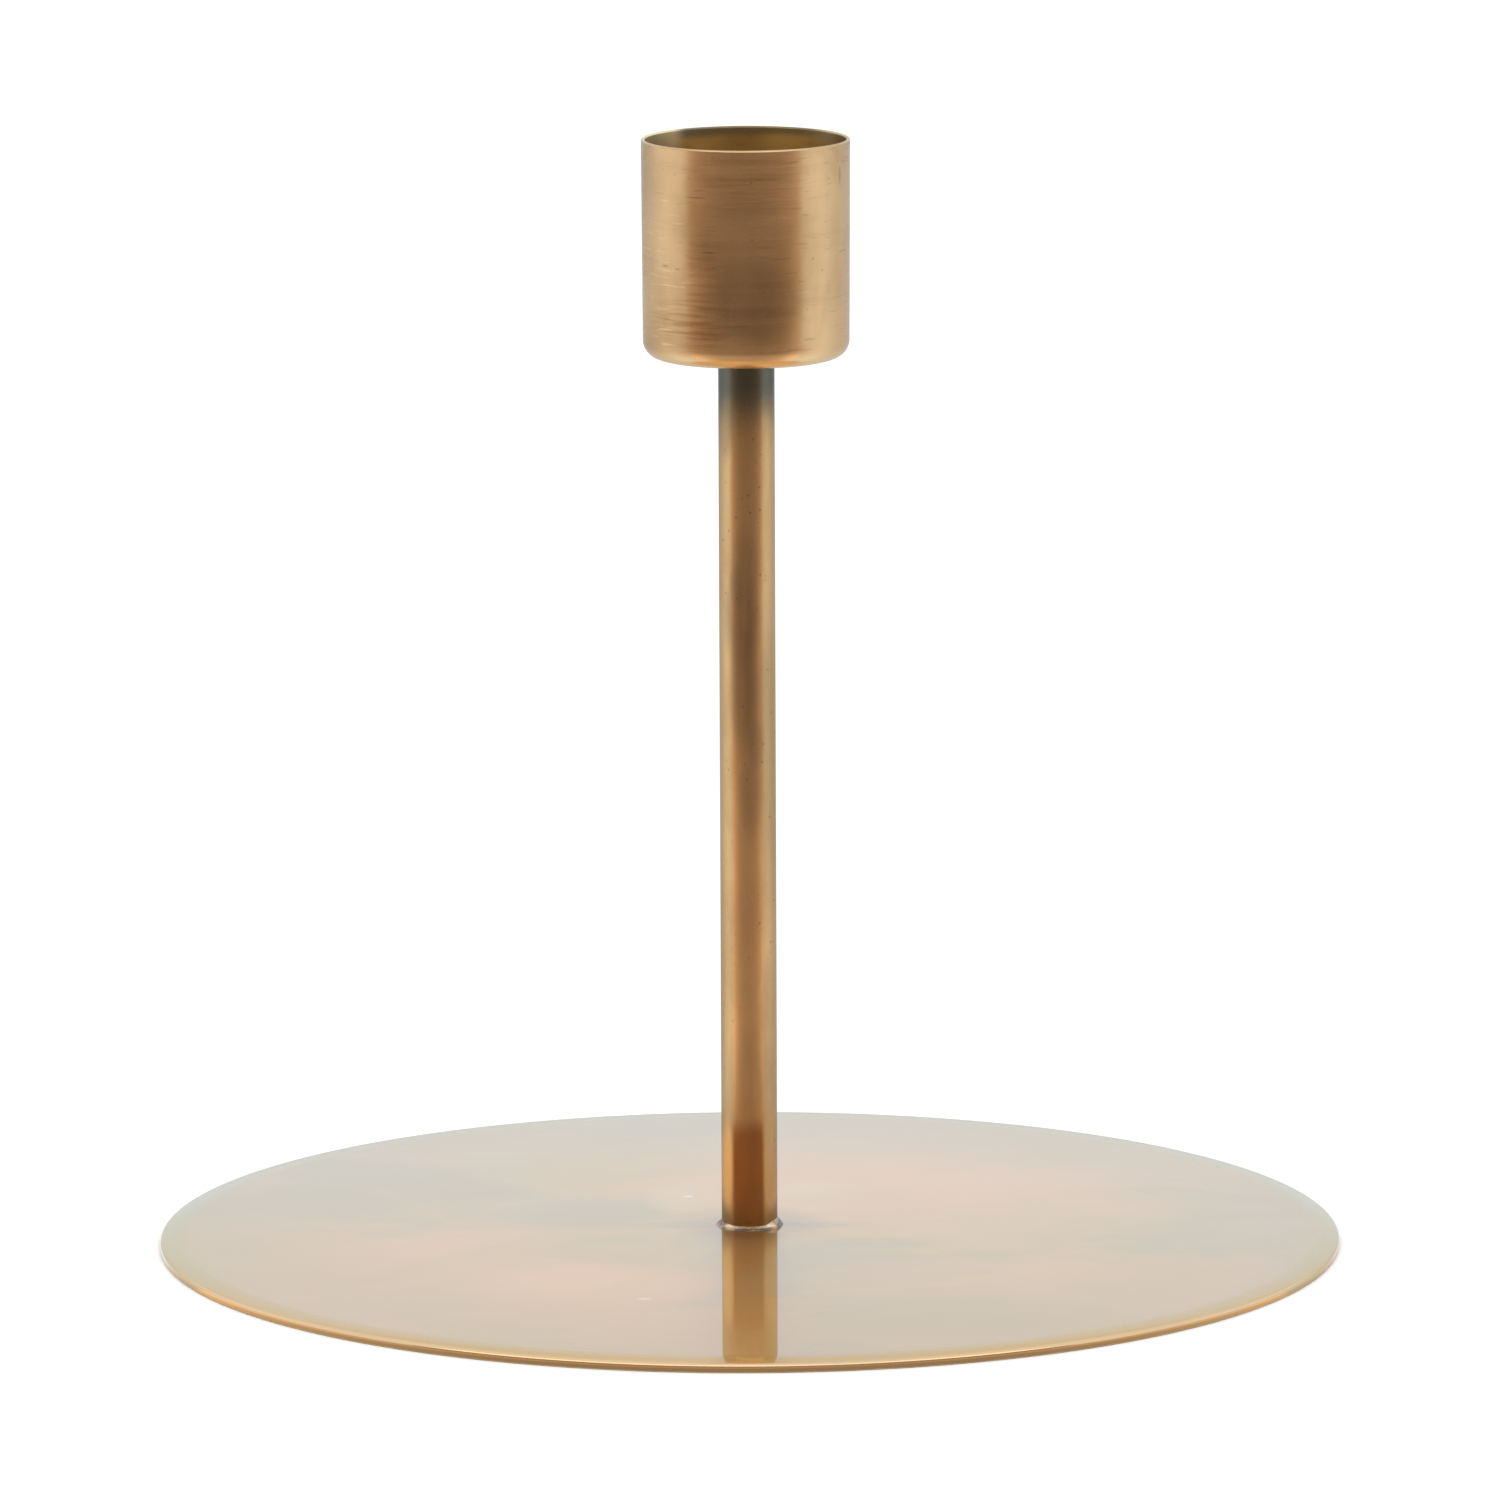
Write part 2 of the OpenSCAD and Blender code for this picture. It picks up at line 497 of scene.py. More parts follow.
# Noise patterns: repeats per metre along X, Y and Z, detail, roughness, bend, and a shift
# where there is one
PATTERNS = {
    "cup_rings": ((40, 40, 7000), 3.0, 0.6, 0.0),
    "cup_bands": ((25, 25, 700), 3.0, 0.6, 0.0),
    "cup_lines": ((130, 130, 2600), 4.0, 0.65, 0.0, (5, 0, 3)),
    "cup_patina": ((70, 70, 45), 4.0, 0.6, 0.3),
    "cup_warmth": ((60, 60, 40), 2.0, 0.5, 0.0, (7, 2, 5)),
    "cup_nicks": ((240, 240, 2400), 2.0, 0.5, 0.0, (3, 1, 0)),
    "cup_patches": ((90, 90, 120), 1.0, 0.5, 0.0, (0, 4, 2)),
    "lining_rings": ((40, 40, 5000), 3.0, 0.6, 0.0),
    "lining_patina": ((120, 120, 200), 3.0, 0.6, 0.0),
    "stem_drawn": ((2600, 2600, 60), 2.0, 0.5, 0.0),
    "stem_patina": ((150, 150, 60), 4.0, 0.6, 0.4),
    "stem_streaks": ((300, 300, 35), 3.0, 0.55, 0.3, (2, 5, 1)),
    "stem_specks": ((1300, 1300, 1300), 3.0, 0.6, 0.0),
    "disc_clouds": ((28, 28, 28), 4.0, 0.5, 0.6),
    "disc_blush": ((26, 26, 26), 3.0, 0.5, 0.6, (1, 2, 3)),
    "disc_swirl": ((60, 60, 60), 2.0, 0.5, 0.0),
    "disc_grain": ((900, 900, 900), 3.0, 0.6, 0.0),
    "under_patina": ((70, 70, 70), 5.0, 0.6, 0.5),
    "under_stains": ((18, 18, 18), 2.0, 0.5, 0.3),
    "under_grain": ((1100, 1100, 1100), 3.0, 0.6, 0.0),
    "braze_crust": ((620, 620, 620), 4.0, 0.6, 0.0),
}

# Layers of patina: pattern, the two values it eases between, the most it covers, its colour
CUP_LAYERS = (
    ("cup_patina", 0.42, 0.75, 0.6, "brown"),
    ("cup_warmth", 0.52, 0.75, 0.3, "red"),
    ("cup_bands", 0.52, 0.8, 0.3, "brown"),
)
LINING_LAYERS = (("lining_patina", 0.35, 0.7, 1.0, "stain"),)
STEM_LAYERS = (
    ("stem_patina", 0.38, 0.75, 0.7, "brown"),
    ("stem_specks", 0.60, 0.75, 0.3, "olive"),
)
DISC_LAYERS = (
    ("disc_clouds", 0.40, 0.64, 0.9, "smoke"),
    ("disc_blush", 0.42, 0.66, 0.9, "blush"),
)
UNDER_LAYERS = (
    ("under_patina", 0.35, 0.7, 1.0, "brown"),
    ("under_stains", 0.4, 0.7, 0.6, "olive"),
)
BRAZE_LAYERS = (("braze_crust", 0.45, 0.68, 0.85, "rod"),)

# Satin roughness: pattern, the two values it eases between, the roughness at each
CUP_SATIN = ("cup_bands", 0.3, 0.75, 0.21, 0.30)
LINING_SATIN = ("lining_patina", 0.3, 0.7, 0.3, 0.4)
STEM_SATIN = ("stem_patina", 0.3, 0.7, 0.20, 0.30)
DISC_SATIN = ("disc_clouds", 0.3, 0.7, 0.36, 0.44)
UNDER_SATIN = ("under_patina", 0.3, 0.7, 0.32, 0.45)
BRAZE_SATIN = ("braze_crust", 0.35, 0.65, 0.38, 0.25)

# Relief: pattern, its depth in metres, its strength
CUP_RELIEF = ("cup_rings", 0.004 * MM, 0.5)
LINING_RELIEF = ("lining_rings", 0.004 * MM, 0.5)
STEM_RELIEF = ("stem_drawn", 0.003 * MM, 0.4)
DISC_RELIEF = ("disc_grain", 0.003 * MM, 0.4)
LACQUER_RELIEF = ("disc_swirl", 0.002 * MM, 0.3)
UNDER_RELIEF = ("under_grain", 0.004 * MM, 0.4)
BRAZE_RELIEF = ("braze_crust", 0.02 * MM, 0.5)

# Colour that each metal's reflections take at a grazing angle
CUP_GRAZE = (0.78, 0.80, 0.82)
LINING_GRAZE = (0.8, 0.8, 0.7)
STEM_GRAZE = (0.72, 0.76, 0.8)
DISC_GRAZE = (0.50, 0.37, 0.14)

# Marks on the side that faces the front, in millimetres: across from the axis, height
# above the piece's foot, half width, half height; then how strong the mark is
CUP_MARKS = (
    (-5.6, 19.3, 1.5, 0.10, 0.55),
    (-4.1, 13.2, 1.2, 0.10, 0.6),
    (-9.0, 11.3, 0.5, 0.16, 0.4),
    (-7.6, 11.1, 0.4, 0.14, 0.4),
    (6.2, 9.8, 0.5, 0.08, 0.35),
    (10.5, 21.2, 0.15, 1.3, 0.3),
)
# Reddened streaks
CUP_BLUSHES = (
    (-6.0, 5.0, 5.5, 3.6, 0.55),
    (-5.0, 10.5, 2.4, 6.5, 0.3),
    (1.0, 20.5, 8.0, 4.0, 0.25),
)
# Dark patina on the cup
CUP_SHADES = (
    (0.8, 7.6, 6.5, 5.6, 0.75),
    (-1.0, 15.0, 7.0, 6.0, 0.35),
)
# Painted highlight in the orange of heated brass, on the stem's left side beside the braze
STEM_HIGHLIGHTS = (
    (-2.5, 7.0, 0.9, 6.5, 0.9),
)
# Dark patina on the stem's front, partly painted shade that dims its reflections and highlights
STEM_SHADES = (
    (0.2, 2.6, 2.0, 4.4, 0.8),
    (-2.6, 92.0, 1.3, 5.0, 0.7),
    (0.2, 16.0, 3.4, 9.0, 0.5),
    (0.9, 56.0, 1.1, 3.5, 0.6),
    (-1.3, 74.0, 0.9, 3.0, 0.6),
    (2.2, 56.0, 1.2, 22.0, 0.55),
    (2.2, 24.0, 1.0, 9.0, 0.45),
    (-0.6, 70.0, 2.4, 7.0, 0.9),
    (-0.4, 62.0, 2.0, 9.0, 0.85),
    (-0.3, 76.0, 1.9, 6.0, 0.6),
    (0.4, 50.0, 1.6, 6.0, 0.45),
)

# How patterns break up the marks: the values eased between, and what is left at the first
BLUSH_BREAK = (0.44, 0.62)
SHADE_BREAK = (0.3, 0.6, 0.5)
STREAK_BREAK = (0.3, 0.55, 0.45)
BLOT_BREAK = (0.34, 0.56, 0.35)

# Clouds and flecks on the disc, in millimetres: across and back from the axis, half
# width, half depth; then how strong the mark is and its colour
DISC_BLOTS = (
    (24, 38, 46, 28, 0.8, "blush"),
    (-16, 7, 15, 12, 0.9, "smoke"),
    (-7.5, -0.5, 7, 2.4, 0.9, "smoke"),
    (8.5, -0.5, 7, 2.0, 0.8, "smoke"),
    (15, -10, 10, 3.6, 0.8, "smoke"),
    (22, -50, 20, 9, 0.8, "smoke"),
    (-7, 14, 6, 11, 0.9, "cream"),
    (8, 15, 8, 11, 0.8, "cream"),
    (-19, -31, 20, 13, 1.0, "blush"),
    (24, -28, 26, 13, 0.35, "blush"),
    # Two pale specks: small chips painted bright as glints
    (-7.0, 15.2, 0.8, 0.8, 0.9, "fleck_glint"),
    (-11.7, -37.6, 1.0, 0.6, 0.6, "fleck_glint"),
)

# Short scratches along the turned rings: the values of the nicks and of the patches that
# they keep to, and the colour
CUP_SCRATCHES = (((0.62, 0.69), (0.42, 0.60), "olive"), ((0.38, 0.31), (0.58, 0.40), "scratch"))
SCRATCH_COVER = 0.35

# Pits: repeats per metre, distances over which a pit fades, cover; and the values of the
# patches between which pits come in
CUP_PITS = (640, 0.11, 0.04, 0.4)
STEM_PITS = (700, 0.14, 0.06, 0.5)
PITTED = (0.45, 0.55)

# Painted highlight along the cup's rounded bottom corner, where it catches the bright floor: heights
# above its foot, cover
BOTTOM_HIGHLIGHT = (0.3 * MM, 1.9 * MM, 0.7)

# The cup's inside: depths below the lip of its oxide band, cover, how far the band's edge
# strays, and where it fades in towards the back
LIP_BAND = (1.4 * MM, 0.5 * MM, 0.8)
LIP_STRAY = 0.8 * MM
LIP_BACK = (1 * MM, 8 * MM, 0.15, 1.0)
# Painted shade across the middle of the inside and painted highlights at its two sides: axis, the
# places it eases between, cover at each, colour
LINING_SHADING = (
    ("aside", 0, 6 * MM, 0.5, 0.0, "inside_shade"),
    ("aside", 7 * MM, 9.8 * MM, 0.0, 0.7, "inside_highlight"),
    ("across", 0, 8 * MM, 0.0, 0.35, "inside_shade"),
    ("across", -6.5 * MM, -8.5 * MM, 0.0, 0.8, "inside_highlight"),
)

# Heat tint below the cup: depths below it that the tint eases between, cover, colour
HEAT_BANDS = ((12 * MM, 4 * MM, 0.7, "olive"), (8.5 * MM, 2.6 * MM, 0.92, "heat"))
HEAT_STRAY = 5 * MM
# Reddened front of the stem's foot, partly flame colour and partly painted shade down its middle
# between the two side highlights: places across and heights above the disc, cover
RED_LEFT = (-2.2 * MM, -1.6 * MM)
RED_RIGHT = (1.9 * MM, 1.3 * MM)
RED_TOP = (13.6 * MM, 10.6 * MM, 0.85)
RED_STRAY = 1.5 * MM
# Dark brown just above the lower bead, partly scorching from the braze and partly painted shade in
# the crease where the stem meets the bead: heights above the disc, cover
SCORCH_AND_SHADE_BAND = (3.6 * MM, 0.9 * MM, 0.75)

# The disc's heat halo: distances out from the stem, cover, how the clouds break it up,
# and its reach and cover on the underside
HALO = (0.2 * MM, 8 * MM, 0.55)
HALO_BREAK = (0.3, 0.6, 0.4, 1.0)
UNDER_HALO = (9 * MM, 0.8)
# Painted shade that grows outwards, greying the disc towards its rim: distances from the axis, cover
OUTER_SHADE = (30 * MM, 60 * MM, 0.5)
# The rolled rim: distances in from the edge, cover, how much smoother it is
RIM_BAND = (4.0 * MM, 1 * MM, 0.5)
RIM_SMOOTH = 0.4
# Painted shade on the lower half of the disc's dull outer wall, next to the floor: heights as shares
# of the sheet's thickness
WALL_SHADE = (0.42, 0.55)
# The clear lacquer
LACQUER_IOR, LACQUER_ROUGH = 1.66, 0.03

# Painted highlight along the crest of the lower braze bead at the front: places from the axis,
# heights above the disc, cover
HIGHLIGHT_FRONT = (-1.8 * MM, -2.6 * MM)
HIGHLIGHT_UP = (0.14 * MM, 0.3 * MM, 0.9)


def cup_finish(look, low):
    """Satin brass with fine turned rings, patina clouds, a few short scratches and a painted
    highlight along the bottom corner.
    """
    p = Paint("cup_brass")
    colour = p.layered(look.gold, CUP_LAYERS, look)
    patches = p.pattern("cup_patches")
    for nicked, kept, tone in CUP_SCRATCHES:
        scratch = p.times(p.span(p.pattern("cup_nicks"), *nicked), p.span(patches, *kept))
        colour = p.mix(p.times(scratch, SCRATCH_COVER), colour, getattr(look, tone))
    colour = p.mix(p.pits(CUP_PITS, patches), colour, look.heat)
    colour = p.marked(colour, CUP_MARKS, low, look.heat)
    streaky = p.span(p.pattern("cup_lines"), *BLUSH_BREAK)
    colour = p.marked(colour, CUP_BLUSHES, low, look.red, streaky)
    cloudy = p.span(p.pattern("cup_patina"), *SHADE_BREAK)
    colour = p.marked(colour, CUP_SHADES, low, look.olive, cloudy)
    # Painted highlight along the bottom corner
    bottom, top, cover = BOTTOM_HIGHLIGHT
    colour = p.mix(p.span(p.z, low + bottom, low + top, cover, 0.0), colour, look.corner_highlight)
    return p.metal(colour, p.satin(CUP_SATIN), CUP_RELIEF, CUP_GRAZE)


def cup_lining(look, high):
    """Inside of the cup: golden brown, with a band of dark oxide under the lip, painted shade across
    its middle and painted highlights at its two sides.
    """
    p = Paint("cup_lining")
    colour = p.layered(look.lining, LINING_LAYERS, look)
    deep, shallow, cover = LIP_BAND
    ragged = p.strayed("lining_patina", LIP_STRAY)
    band = p.span(ragged, high - deep, high - shallow, 0.0, cover)
    colour = p.mix(p.times(band, p.span(p.y, *LIP_BACK)), colour, look.lip)
    axes = {"across": p.x, "aside": p.math("ABSOLUTE", p.x)}
    # Painted shade across the middle of the inside and painted highlights at its sides
    for axis, start, end, at_start, at_end, tone in LINING_SHADING:
        colour = p.mix(p.span(axes[axis], start, end, at_start, at_end), colour, getattr(look, tone))
    return p.metal(colour, p.satin(LINING_SATIN), LINING_RELIEF, LINING_GRAZE)


def stem_finish(look, low, high):
    """Drawn brass rod: mottled patina deepened in places by painted shade, heat tint under the cup,
    a reddened foot partly painted as shade, dark scorching above the lower bead partly painted as
    shade, and a painted highlight beside the braze.
    """
    p = Paint("stem_brass")
    colour = p.layered(look.rod, STEM_LAYERS, look)
    # Dark patches on the front, partly patina, partly painted shade dimming the stem's reflections
    streaky = p.span(p.pattern("stem_streaks"), *STREAK_BREAK)
    colour = p.marked(colour, STEM_SHADES, low, look.olive, streaky)
    colour = p.mix(p.pits(STEM_PITS, p.pattern("stem_patina")), colour, look.heat)
    # Painted highlight beside the braze, in heat-coloured orange
    colour = p.marked(colour, STEM_HIGHLIGHTS, low, look.flame)
    height = p.strayed("stem_patina", HEAT_STRAY)
    for deep, shallow, cover, tone in HEAT_BANDS:
        band = p.span(height, high - deep, high - shallow, 0.0, cover)
        colour = p.mix(band, colour, getattr(look, tone))
    # Partly flame reddening, partly painted shade down the front middle of the foot
    flank = p.times(p.times(p.span(p.x, *RED_LEFT), p.span(p.x, *RED_RIGHT)), p.front())
    top, bottom, cover = RED_TOP
    wavy = p.strayed("stem_patina", RED_STRAY)
    foot = p.times(p.span(wavy, low + top, low + bottom, 0.0, cover), flank)
    colour = p.mix(foot, colour, look.red)
    # Partly scorching, partly painted shade in the crease above the lower bead
    top, bottom, cover = SCORCH_AND_SHADE_BAND
    colour = p.mix(p.span(height, low + top, low + bottom, 0.0, cover), colour, look.char)
    return p.metal(colour, p.satin(STEM_SATIN), STEM_RELIEF, STEM_GRAZE)


def disc_finish(look, disc_r, stem_r, sheet):
    """Lacquered sheet: satin brass clouded by age, a heat halo, pale specks painted bright as
    glints, painted shade growing towards the rim, and a dull cut edge with painted shade on its
    lower half.
    """
    p = Paint("disc_brass")
    clouds, r = p.pattern("disc_clouds"), p.radius()
    colour = p.layered(look.sheet, DISC_LAYERS, look)
    drift = p.span(clouds, *BLOT_BREAK)
    for x, y, wide, deep, amount, tone in DISC_BLOTS:
        mark = p.blot(p.x, p.y, (x * MM, y * MM), (wide * MM, deep * MM), amount)
        # The pale specks stay sharp: small chips painted bright as glints
        mark = mark if tone == "fleck_glint" else p.times(mark, drift)
        colour = p.mix(mark, colour, getattr(look, tone))
    near, far, cover = HALO
    halo = p.times(p.span(r, stem_r + near, stem_r + far, 1.0, 0.0), p.span(clouds, *HALO_BREAK))
    colour = p.mix(p.times(halo, cover), colour, look.oxide)
    # Painted shade that darkens the disc towards its rim
    near, far, cover = OUTER_SHADE
    colour = p.mix(p.span(r, near, far, 0.0, cover), colour, look.smoke)
    near, far, cover = RIM_BAND
    rim = p.span(r, disc_r - near, disc_r - far, 0.0, cover)
    colour = p.mix(rim, colour, look.rim)
    # Painted shade on the lower half of the outer wall, next to the floor
    low, high = WALL_SHADE
    colour = p.mix(p.span(p.z, sheet * low, sheet * high, 1.0, 0.0), colour, look.edge)
    p.set(Coat_Weight=1.0, Coat_IOR=LACQUER_IOR, Coat_Roughness=LACQUER_ROUGH)
    p.set(Coat_Normal=p.relief(*LACQUER_RELIEF))
    rough = p.math("SUBTRACT", p.satin(DISC_SATIN), p.times(rim, RIM_SMOOTH))
    return p.metal(colour, rough, DISC_RELIEF, DISC_GRAZE)


def disc_underside(look, stem_r):
    """Underside of the sheet: unlacquered brass, browned all over and darker at the braze."""
    p = Paint("disc_underside")
    colour = p.layered(look.gold, UNDER_LAYERS, look)
    reach, cover = UNDER_HALO
    colour = p.mix(p.span(p.radius(), stem_r, stem_r + reach, cover, 0.0), colour, look.heat)
    return p.metal(colour, p.satin(UNDER_SATIN), UNDER_RELIEF)


def braze_finish(look, low):
    """As-brazed metal: grey oxide with brass showing through, and a painted highlight along the
    lower bead's front crest.
    """
    p = Paint("braze")
    colour = p.layered(look.oxide, BRAZE_LAYERS, look)
    # Painted highlight along the crest at the front of the lower bead
    bottom, top, cover = HIGHLIGHT_UP
    ridge_highlight = p.times(p.span(p.y, *HIGHLIGHT_FRONT), p.span(p.z, low + bottom, low + top))
    colour = p.mix(p.times(ridge_highlight, cover), colour, look.ridge_highlight)
    return p.metal(colour, p.satin(BRAZE_SATIN), BRAZE_RELIEF)


# ---------------- pieces

# Radii on sharp edges: outer ones, the stand ring's inner one, and those inside corners
EDGE_ROUND = 0.12 * MM
STAND_ROUND = 0.1 * MM
INNER_ROUND = 0.05 * MM
# Rings of points on the disc: one inside the seat, then the crown's and the rim's
SEAT_RING = 0.8
CROWN_RINGS = 44
RIM_RINGS = 8
# Where the rim's rings stop short of the edge, as a share of its rounding
RIM_STOP = 1.2
# Least gap between the underside's last ring and the stand ring
UNDER_GAP = 0.3 * MM
# A face counts as facing up or down when its normal leans at least this far
LEAN = 0.5
# Longest stretch of outline on the stem and the cup
STEM_STEP = 0.8 * MM
CUP_STEP = 0.6 * MM
CUP_ROUND_STEPS = 10
# Bend where the cup's bore meets its mouth, and the lip's radius as a share of the wall
MOUTH_BEND = 2 * MM
LIP_SHARE = 0.48


def inner_material(piece, material, chosen):
    """Gives the chosen faces of a piece a second material."""
    piece.data.materials.append(material)
    for face in piece.data.polygons:
        if chosen(face):
            face.material_index = 1


class HOLDER_OT_disc(bpy.types.Operator):
    """Makes the crowned foot disc"""
    bl_idname = "holder.disc"
    bl_label = "Foot disc"

    def execute(self, context):
        sizes, look = context.scene.holder_disc, context.scene.holder_finish
        stem = context.scene.holder_stem
        low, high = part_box("base_disc")
        stem_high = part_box("stem_rod")[1]
        disc_r, seat_z = high.x - sizes.wobble, high.z
        stand_z = low.z + sizes.wobble
        hole_r = stem_high.x - stem.shoulder_w + stem.gap
        seat_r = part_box("foot_braze")[1].x + sizes.seat_margin
        crown_r = disc_r - sizes.rim_w
        crown_z = seat_z - sizes.crown
        slope = 2 * sizes.crown / (crown_r - seat_r)
        drop = crown_z - sizes.sheet

        def top(r):
            if r <= seat_r:
                return seat_z
            if r <= crown_r:
                return seat_z - sizes.crown * ((r - seat_r) / (crown_r - seat_r)) ** 2
            out = r - crown_r
            return crown_z - slope * out - (drop - slope * sizes.rim_w) * (out / sizes.rim_w) ** 2

        radii = [hole_r, seat_r * SEAT_RING]
        radii += [seat_r + (crown_r - seat_r) * i / CROWN_RINGS for i in range(CROWN_RINGS + 1)]
        rim_end = disc_r - RIM_STOP * sizes.rim_round
        radii += [crown_r + (rim_end - crown_r) * i / RIM_RINGS for i in range(1, RIM_RINGS + 1)]
        stand_r = disc_r - sizes.stand_w
        corners = [(r, top(r), 0) for r in radii]
        corners += [(disc_r, top(disc_r), sizes.rim_round), (disc_r, stand_z, EDGE_ROUND)]
        corners += [(stand_r, stand_z, STAND_ROUND)]
        corners += [(stand_r, top(stand_r) - sizes.sheet, INNER_ROUND)]
        under = [r for r in reversed(radii) if r < stand_r - UNDER_GAP]
        corners += [(r, top(r) - sizes.sheet, 0) for r in under]
        outline = rounded(corners)
        finish = disc_finish(look, disc_r, stem_high.x, sizes.sheet)
        piece = turned("foot_disc", outline, True, finish, sizes.wobble)
        inner_material(piece, disc_underside(look, stem_high.x), lambda face: face.normal.z < -LEAN)
        settle(piece, "base_disc")
        return {"FINISHED"}


class HOLDER_OT_stem(bpy.types.Operator):
    """Makes the stem with its spigots"""
    bl_idname = "holder.stem"
    bl_label = "Stem"

    def execute(self, context):
        sizes, look = context.scene.holder_stem, context.scene.holder_finish
        low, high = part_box("stem_rod")
        seat_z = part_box("base_disc")[1].z
        cup_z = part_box("candle_cup")[0].z
        stem_r = high.x
        spigot_r = stem_r - sizes.shoulder_w
        edge = EDGE_ROUND
        corners = [
            (0, low.z, 0), (spigot_r, low.z, edge), (spigot_r, seat_z, 0), (stem_r, seat_z, edge),
            (stem_r, cup_z, edge), (spigot_r, cup_z, 0), (spigot_r, high.z, edge), (0, high.z, 0),
        ]
        outline = evened(rounded(corners, closed=False), STEM_STEP, closed=False)
        finish = stem_finish(look, seat_z, cup_z)
        piece = turned("stem", outline, False, finish, sizes.wobble)
        settle(piece, "stem_rod")
        return {"FINISHED"}


class HOLDER_OT_cup(bpy.types.Operator):
    """Makes the thin drawn candle cup"""
    bl_idname = "holder.cup"
    bl_label = "Candle cup"

    def execute(self, context):
        sizes, look = context.scene.holder_cup, context.scene.holder_finish
        stem = context.scene.holder_stem
        low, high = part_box("candle_cup")
        bore = next(m for m in frame["record"]["mounts"] if m["name"] == "candle_socket")
        bore_r = bore["dims"]["r_mm"] * MM
        hole_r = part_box("stem_rod")[1].x - stem.shoulder_w + stem.gap
        outer_r, lip_z = high.x - sizes.wobble, high.z - sizes.wobble / 2
        lip = sizes.wall * LIP_SHARE
        floor_z = low.z + sizes.floor
        corners = [
            (hole_r, floor_z, INNER_ROUND),
            (bore_r, floor_z, sizes.corner - sizes.wall),
            (bore_r, high.z - sizes.mouth_h, MOUTH_BEND),
            (outer_r - sizes.wall, lip_z, lip),
            (outer_r, lip_z, lip),
            (bore_r + sizes.wall, low.z, sizes.corner),
            (hole_r, low.z, INNER_ROUND),
        ]
        outline = evened(rounded(corners, steps=CUP_ROUND_STEPS), CUP_STEP)
        piece = turned("candle_cup_drawn", outline, True, cup_finish(look, low.z), sizes.wobble)

        def inside(face):
            outward = face.normal.x * face.center.x + face.normal.y * face.center.y
            upward = face.normal.z > LEAN and face.center.z < high.z - sizes.mouth_h
            return upward or (outward < 0 and face.normal.z > -LEAN)

        inner_material(piece, cup_lining(look, high.z), inside)
        settle(piece, "candle_cup")
        return {"FINISHED"}


# The bead's height every 30 degrees from +X, turning towards +Y, as a share of the tallest
BEAD_RISE = (0.85, 0.7, 0.6, 0.7, 0.6, 0.65, 0.60, 0.50, 0.40, 0.38, 0.40, 0.86)
# Points round and across a bead, and how deep it is sunk into the stem and its seat
BEAD_AROUND, BEAD_ACROSS = 160, 10
BEAD_SUNK = 0.08 * MM
# Lumps: how closely they follow each other round the bead, and how high they stand
BEAD_LUMPS = ((2.2, 0.16), (5.0, 0.10))
# Width as a share of the CAD bead's, and how much a lump adds to it
BEAD_WIDTH, LUMP_WIDTH = 0.82, 0.45
# The bead's section: how it spreads, how it falls, its bulge, and the bulge's share each way
BEAD_SPREAD, BEAD_FALL = 1.25, 1.35
BEAD_BULGE, BULGE_OUT, BULGE_UP = 0.16, 0.5, 0.8
# Fine roughness of the skin: closeness and depth
SKIN_CLOSE, SKIN_DEEP = 11, 0.035 * MM
BEAD_SEED = 5.0


def bead(name, base_z, up, stem_r, reach, rise, finish, seed):
    """A ring of braze against the stem, its height and reach changing round it."""
    points, faces = [], []
    for i in range(BEAD_AROUND):
        a = 2 * math.pi * i / BEAD_AROUND
        at = Vector((math.cos(a), math.sin(a), seed))
        lump = sum(noise.noise(at * close) * tall for close, tall in BEAD_LUMPS)
        height, width = rise(a) * (1 + lump), reach * (BEAD_WIDTH + LUMP_WIDTH * lump)
        ring = [(stem_r - BEAD_SUNK, -BEAD_SUNK), (stem_r - BEAD_SUNK, height)]
        for k in range(BEAD_ACROSS + 1):
            t = k / BEAD_ACROSS
            swell = math.sin(math.pi * t)
            bulge = swell * BEAD_BULGE
            r = stem_r + width * (t ** BEAD_SPREAD) + bulge * width * BULGE_OUT
            z = height * (1 - t) ** BEAD_FALL + bulge * height * BULGE_UP
            skin = Vector((at.x, at.y, t + seed)) * SKIN_CLOSE
            fine = noise.noise(skin) * SKIN_DEEP * swell
            ring.append((r + fine, max(z + fine, 0)))
        ring.append((stem_r + width, -BEAD_SUNK))
        points += [(r * math.cos(a), r * math.sin(a), base_z + up * z) for r, z in ring]
    n = len(ring)
    for i in range(BEAD_AROUND):
        ahead = (i + 1) % BEAD_AROUND
        for k in range(n):
            a, b = i * n + k, i * n + (k + 1) % n
            c, d = ahead * n + (k + 1) % n, ahead * n + k
            faces.append((a, b, c, d) if up < 0 else (d, c, b, a))
    mesh = bpy.data.meshes.new(name)
    mesh.from_pydata(points, [], faces)
    mesh.polygons.foreach_set("use_smooth", [True] * len(faces))
    mesh.materials.append(finish)
    return placed(name, mesh)


class HOLDER_OT_braze(bpy.types.Operator):
    """Makes the two braze beads"""
    bl_idname = "holder.braze"
    bl_label = "Braze beads"

    def execute(self, context):
        sizes, look = context.scene.holder_stem, context.scene.holder_finish
        stem_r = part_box("stem_rod")[1].x
        finish = braze_finish(look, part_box("foot_braze")[0].z)
        for name, node, up in (("foot_bead", "foot_braze", 1), ("cup_bead", "cup_braze", -1)):
            low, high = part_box(node)
            tall = high.z - low.z
            base = low.z if up > 0 else high.z

            def rise(a):
                """Height of the bead at an angle from +X."""
                turns = (a / (2 * math.pi) * len(BEAD_RISE)) % len(BEAD_RISE)
                step = int(turns)
                ease = (1 - math.cos(math.pi * (turns - step))) / 2
                here, ahead = BEAD_RISE[step], BEAD_RISE[(step + 1) % len(BEAD_RISE)]
                return tall * (here + (ahead - here) * ease)

            piece = bead(name, base, up, stem_r, high.x - stem_r, rise, finish, BEAD_SEED * up)
            settle(piece, node)
        return {"FINISHED"}


# ---------------- studio

